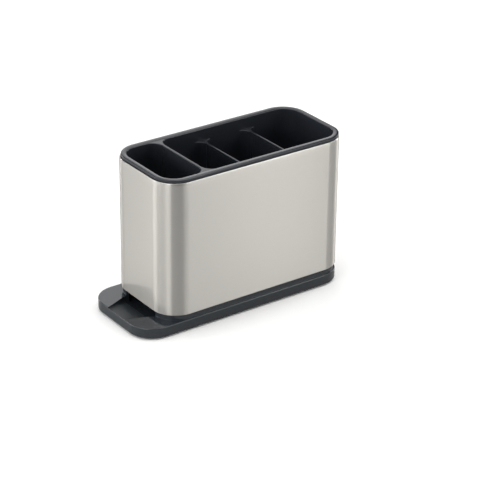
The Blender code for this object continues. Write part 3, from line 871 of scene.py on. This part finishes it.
def make_channel_core(tray, sleeve):
    """The hollow under the channel, whose roof follows the channel's floor."""
    low_x, high_x = TRAY_LOW.x + tray.wall, SLEEVE_LOW.x
    half_width = tray.spout_lip
    corners = ((low_x, -half_width), (high_x, -half_width), (high_x, half_width), (low_x, half_width))
    floor = [(x, y, TRAY_LOW.z - OVERRUN) for x, y in corners]
    roof = [(x, y, channel_floor(tray, sleeve, x) - tray.wall) for x, y in corners]
    return skin("channel_core", [floor, roof])


def foot_grid(material):
    """Values that lay a tree's copies where the frame has its feet."""
    length = FAR_FOOT_LOW.x - FOOT_LOW.x
    width = FAR_FOOT_LOW.y - FOOT_LOW.y
    centre = ((FAR_FOOT_HIGH.x + FOOT_LOW.x) / 2, (FAR_FOOT_HIGH.y + FOOT_LOW.y) / 2, 0.0)
    return {"Columns": 2, "Rows": 2, "Length": length, "Width": width, "Centre": centre,
            "Material": material}


def make_tray(tray, sleeve, foot, material):
    """The tray with its channel and basin, its hollow underside and the recesses for its feet."""
    piece = tray_body(tray, sleeve)
    combine(piece, make_channel(tray, sleeve), "DIFFERENCE")
    for side in (-1, 1):
        combine(piece, make_corner_core(tray, sleeve, side), "DIFFERENCE")
    combine(piece, make_channel_core(tray, sleeve), "DIFFERENCE")
    recesses = disc("recesses", foot.radius + foot.clearance, TRAY_LOW.z - OVERRUN,
                    TRAY_LOW.z + foot.recess, FOOT_SIDES)
    run_tree(recesses, grid_tree(), foot_grid(material))
    combine(piece, recesses, "DIFFERENCE")
    return piece


def make_feet(foot, material):
    """One turned foot with a rounded lower edge, repeated under the tray's corners."""
    section = Section(foot.edge, 0.0)
    section.turn(0.0, foot.edge, True)
    section.line(0.0, foot.height)
    rings = []
    for inset, height in section.points:
        outline = arc(0.0, 0.0, foot.radius - inset, 0.0, FULL_TURN, FOOT_SIDES)[:-1]
        rings.append([(x, y, height) for x, y in outline])
    piece = skin("feet", rings)
    run_tree(piece, grid_tree(), foot_grid(material))
    return piece


def add_lamp(name, place, width, length, brightness, aim):
    """A soft rectangular lamp that the camera doesn't see. Brightness is its radiance."""
    lamp = bpy.data.lights.new(name, "AREA")
    lamp.shape = "RECTANGLE"
    lamp.size = width
    lamp.size_y = length
    lamp.energy = brightness * width * length * math.pi
    holder = bpy.data.objects.new(name, lamp)
    holder.location = place
    holder.rotation_euler = aim.to_track_quat("-Z", "Y").to_euler()
    holder.visible_camera = False
    bpy.context.scene.collection.objects.link(holder)


def add_panel_light(name, azimuth, spread, band, brightness):
    """An upright panel that faces the drainer, spreads over some degrees and spans a band of heights."""
    low, high = band
    angle = math.radians(azimuth)
    outwards = Vector((math.cos(angle), math.sin(angle), 0.0))
    width = 2 * PANEL_DISTANCE * math.tan(math.radians(spread) / 2)
    place = outwards * PANEL_DISTANCE + Vector((0.0, 0.0, (low + high) / 2))
    add_lamp(name, place, width, high - low, brightness, -outwards)


def set_world(studio):
    """White where the camera sees the room, which itself gives only the ambient light, if any."""
    world = bpy.data.worlds.new("studio")
    world.use_nodes = True
    bpy.context.scene.world = world
    tree = world.node_tree
    tree.nodes.clear()
    path = add_node(tree, "ShaderNodeLightPath")
    dim = add_node(tree, "ShaderNodeBackground", inputs={"Strength": studio.ambient})
    white = add_node(tree, "ShaderNodeBackground",
                     inputs={"Color": (1.0, 1.0, 1.0, 1.0), "Strength": ROOM_WHITE})
    mix = add_node(tree, "ShaderNodeMixShader", inputs={0: path.outputs["Is Camera Ray"],
                                                       1: dim.outputs["Background"],
                                                       2: white.outputs["Background"]})
    add_node(tree, "ShaderNodeOutputWorld", inputs={"Surface": mix.outputs["Shader"]})


def set_camera(studio):
    """A camera that sees the drainer as the photograph does."""
    camera = bpy.data.cameras.new("camera")
    camera.lens = studio.lens
    camera.sensor_width = SENSOR_WIDTH
    camera.clip_end = SIGHT
    camera.shift_x = -studio.half_pixel
    camera.shift_y = studio.half_pixel
    yaw, pitch, roll = studio.yaw, studio.pitch, studio.roll
    ahead = Vector((math.sin(yaw) * math.cos(pitch), math.cos(yaw) * math.cos(pitch), -math.sin(pitch)))
    right = Vector((math.cos(yaw), -math.sin(yaw), 0.0))
    up = right.cross(ahead)
    side = right * math.cos(roll) + up * math.sin(roll)
    top = up * math.cos(roll) - right * math.sin(roll)
    holder = bpy.data.objects.new("camera", camera)
    bpy.context.scene.collection.objects.link(holder)
    turn = Matrix((side, top, -ahead)).transposed().to_4x4()
    holder.matrix_world = Matrix.Translation(studio.place) @ turn
    bpy.context.scene.camera = holder


class DRAINER_OT_sleeve(bpy.types.Operator):
    """Sweep the steel sleeve"""
    bl_idname = "drainer.sleeve"
    bl_label = "Steel sleeve"

    def execute(self, context):
        settings = context.scene.drainer
        steel = brushed_steel(tuple(settings.finish.steel))
        piece = make_sleeve(settings.sleeve, steel)
        finish_piece(piece, "sleeve", steel, "sleeve", ("steel_sleeve",))
        return {"FINISHED"}


class DRAINER_OT_caddy(bpy.types.Operator):
    """Mould the caddy with its rim, bays and drain holes"""
    bl_idname = "drainer.caddy"
    bl_label = "Caddy"

    def execute(self, context):
        settings = context.scene.drainer
        plastic = satin_plastic(tuple(settings.finish.caddy))
        piece = make_caddy(settings.caddy, settings.sleeve, plastic)
        finish_piece(piece, "caddy", plastic, "caddy", ("inner_caddy",))
        return {"FINISHED"}


class DRAINER_OT_tray(bpy.types.Operator):
    """Mould the drip tray with its spout and basin"""
    bl_idname = "drainer.tray"
    bl_label = "Drip tray"

    def execute(self, context):
        settings = context.scene.drainer
        plastic = glossy_plastic(tuple(settings.finish.tray), settings.tray)
        piece = make_tray(settings.tray, settings.sleeve, settings.foot, plastic)
        finish_piece(piece, "tray", plastic, "tray", ("drip_tray",))
        return {"FINISHED"}


class DRAINER_OT_feet(bpy.types.Operator):
    """Set the rubber feet under the tray"""
    bl_idname = "drainer.feet"
    bl_label = "Feet"

    def execute(self, context):
        settings = context.scene.drainer
        rubber = moulded_rubber(tuple(settings.finish.rubber))
        piece = make_feet(settings.foot, rubber)
        finish_piece(piece, "feet", rubber, "tray", FOOT_NODES)
        return {"FINISHED"}


class DRAINER_OT_studio(bpy.types.Operator):
    """Lay the background paper, and set the lamps and the camera"""
    bl_idname = "drainer.studio"
    bl_label = "Studio"

    def execute(self, context):
        settings = context.scene.drainer
        half = settings.studio.ground
        work = bmesh.new()
        bmesh.ops.create_grid(work, x_segments=2, y_segments=2, size=half)
        ground = new_object("ground", work)
        ground.data.materials.append(background_paper(tuple(settings.finish.ground)))
        set_world(settings.studio)
        set_camera(settings.studio)
        for name, azimuth, spread, band, brightness in PANELS:
            add_panel_light(name, azimuth, spread, band, brightness)
        add_lamp("overhead_panel", (0.0, 0.0, OVERHEAD_HEIGHT), OVERHEAD_SIDE, OVERHEAD_SIDE,
                 OVERHEAD_BRIGHTNESS, Vector((0.0, 0.0, -1.0)))
        context.scene.view_settings.view_transform = "Standard"
        return {"FINISHED"}


OPERATORS = (DRAINER_OT_tray, DRAINER_OT_feet, DRAINER_OT_sleeve, DRAINER_OT_caddy, DRAINER_OT_studio)


class DRAINER_PT_panel(bpy.types.Panel):
    """The drainer's pieces and its studio"""
    bl_idname = "DRAINER_PT_panel"
    bl_label = "Cutlery Drainer"
    bl_space_type = "VIEW_3D"
    bl_region_type = "UI"
    bl_category = "Drainer"

    def draw(self, context):
        for operator in OPERATORS:
            self.layout.operator(operator.bl_idname)


GROUPS = (SleeveSizes, CaddySizes, TraySizes, FootSizes, Finishes, StudioSettings, Drainer)
CLASSES = GROUPS + OPERATORS + (DRAINER_PT_panel,)


def register():
    """Add the classes and the scene's settings."""
    for item in CLASSES:
        bpy.utils.register_class(item)
    bpy.types.Scene.drainer = PointerProperty(type=Drainer)


def unregister():
    """Take the settings and the classes away again."""
    del bpy.types.Scene.drainer
    for item in reversed(CLASSES):
        bpy.utils.unregister_class(item)


def main():
    """Build every piece and the studio."""
    register()
    bpy.ops.drainer.tray()
    bpy.ops.drainer.feet()
    bpy.ops.drainer.sleeve()
    bpy.ops.drainer.caddy()
    bpy.ops.drainer.studio()


if __name__ == "__main__":
    main()
